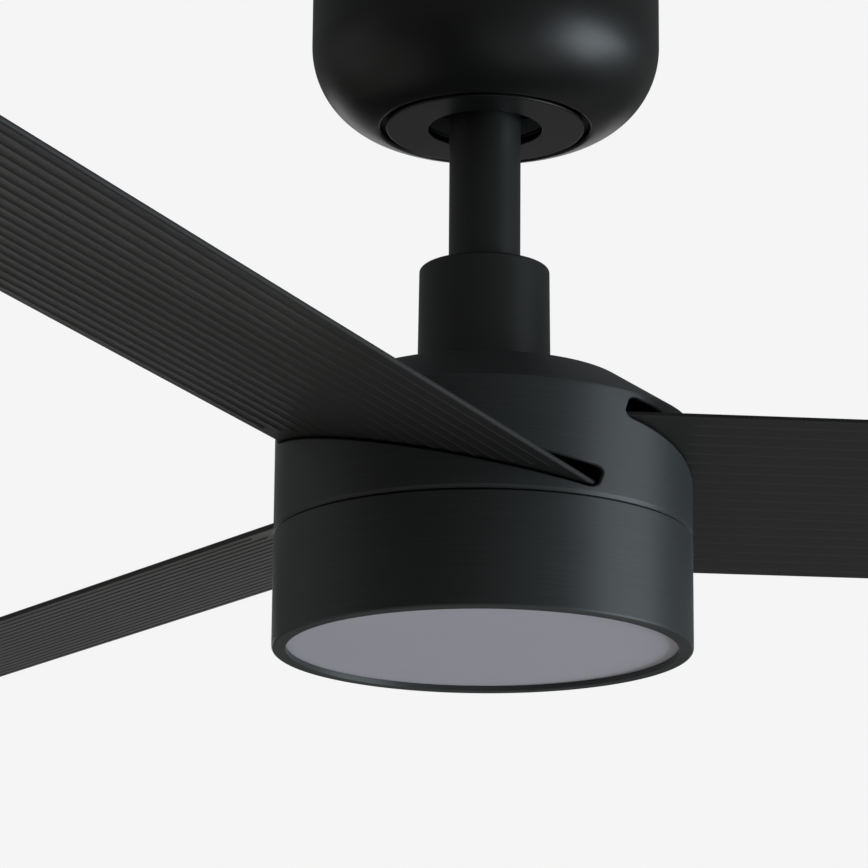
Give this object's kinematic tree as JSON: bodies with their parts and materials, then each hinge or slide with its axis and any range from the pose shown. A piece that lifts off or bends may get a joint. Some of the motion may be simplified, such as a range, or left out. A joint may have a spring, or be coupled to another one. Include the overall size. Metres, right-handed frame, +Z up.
{
  "type": "ceiling fan with light",
  "caption": "Ceiling fan with pitched ribbed blades on a turning drum, hung on a short rod below a round canopy, with a flat frosted light underneath.",
  "frame": {"origin": "centre of the ceiling face, on top of the hanger bracket's plate", "axes": "+Z up, out of the ceiling face along the rod and the spin axis; +X along the first blade; the fan hangs towards -Z"},
  "size_m": [1.0412, 1.1948, 0.302],
  "materials": {
    "graphite_enamel": "satin, very fine texture",
    "blade_abs": "matt, fine lengthwise ribs",
    "frosted_acrylic": "frosted, unlit",
    "zinc_steel": "zinc plated",
    "dark_screw": "black oxide",
    "bearing_steel": "ground",
    "cast_aluminium": "as cast",
    "electrical_steel": "laminated",
    "copper_winding": "enamelled wire",
    "magnet": "epoxy coated",
    "black_rubber": "matt",
    "white_plastic": "moulded",
    "nylon": "natural",
    "seat_plastic": "glass-filled nylon",
    "green_board": "solder mask",
    "led_phosphor": "phosphor",
    "brass_fitting": "turned",
    "lead_insulation": "PVC",
    "earth_insulation": "PVC"
  },
  "bodies": {
    "root": {"hanger_bracket": "zinc_steel", "ball_seat": "seat_plastic", "seat_screws": "zinc_steel", "canopy": "graphite_enamel", "canopy_screws": "zinc_steel", "canopy_cover": "graphite_enamel", "receiver_box": "white_plastic", "terminal_block": "white_plastic", "earth_lead": "earth_insulation"},
    "hanger": {"hanger_ball": "cast_aluminium", "cross_pin": "zinc_steel", "ball_set_screw": "dark_screw", "downrod": "graphite_enamel", "coupling_cover": "graphite_enamel", "cover_grommet": "black_rubber", "motor_coupling": "cast_aluminium", "clevis_pin": "zinc_steel", "pin_clip": "zinc_steel", "coupling_set_screws": "dark_screw", "motor_shaft": "zinc_steel", "stator_core": "electrical_steel", "stator_windings": "copper_winding", "upper_inner_race": "bearing_steel", "lower_inner_race": "bearing_steel", "shaft_spacers": "bearing_steel", "shaft_circlips": "dark_screw", "light_mount_plate": "zinc_steel", "shaft_nut": "zinc_steel", "light_housing": "graphite_enamel", "light_housing_screws": "zinc_steel", "drive_board": "green_board", "led_driver": "white_plastic", "led_board": "cast_aluminium", "led_chips": "led_phosphor", "board_standoffs": "brass_fitting", "led_board_screws": "zinc_steel", "diffuser": "frosted_acrylic", "diffuser_ring": "zinc_steel", "lead_wires": "lead_insulation"},
    "rotor": {"rotor_can": "electrical_steel", "rotor_top_cover": "cast_aluminium", "rotor_bottom_cover": "cast_aluminium", "rotor_cover_screws": "dark_screw", "rotor_magnets": "magnet", "upper_outer_race": "bearing_steel", "lower_outer_race": "bearing_steel", "upper_housing": "graphite_enamel", "upper_housing_screws": "dark_screw", "blade_holder_1": "zinc_steel", "blade_holder_2": "zinc_steel", "blade_holder_3": "zinc_steel", "holder_screws": "zinc_steel", "blade_1": "blade_abs", "blade_2": "blade_abs", "blade_3": "blade_abs", "blade_screws": "zinc_steel"},
    "upper_balls": {"upper_bearing_balls": "bearing_steel", "upper_bearing_cage": "nylon"},
    "lower_balls": {"lower_bearing_balls": "bearing_steel", "lower_bearing_cage": "nylon"}
  },
  "joints": [
    {"name": "hanger_swing", "type": "hinge", "parent": "root", "child": "hanger", "pos_m": [0, 0, -0.046], "axis": [1, 0, 0], "range_deg": [-12, 12]},
    {"name": "fan_spin", "type": "hinge", "parent": "hanger", "child": "rotor", "pos_m": [0, 0, -0.23], "axis": [0, 0, 1], "continuous": true},
    {"name": "upper_balls_spin", "type": "hinge", "parent": "hanger", "child": "upper_balls", "pos_m": [0, 0, -0.209], "axis": [0, 0, 1], "continuous": true},
    {"name": "lower_balls_spin", "type": "hinge", "parent": "hanger", "child": "lower_balls", "pos_m": [0, 0, -0.247], "axis": [0, 0, 1], "continuous": true}
  ],
  "couplings": [
    {"joint": "upper_balls_spin", "follows": "fan_spin", "ratio": 0.5923},
    {"joint": "lower_balls_spin", "follows": "fan_spin", "ratio": 0.5923}
  ]
}
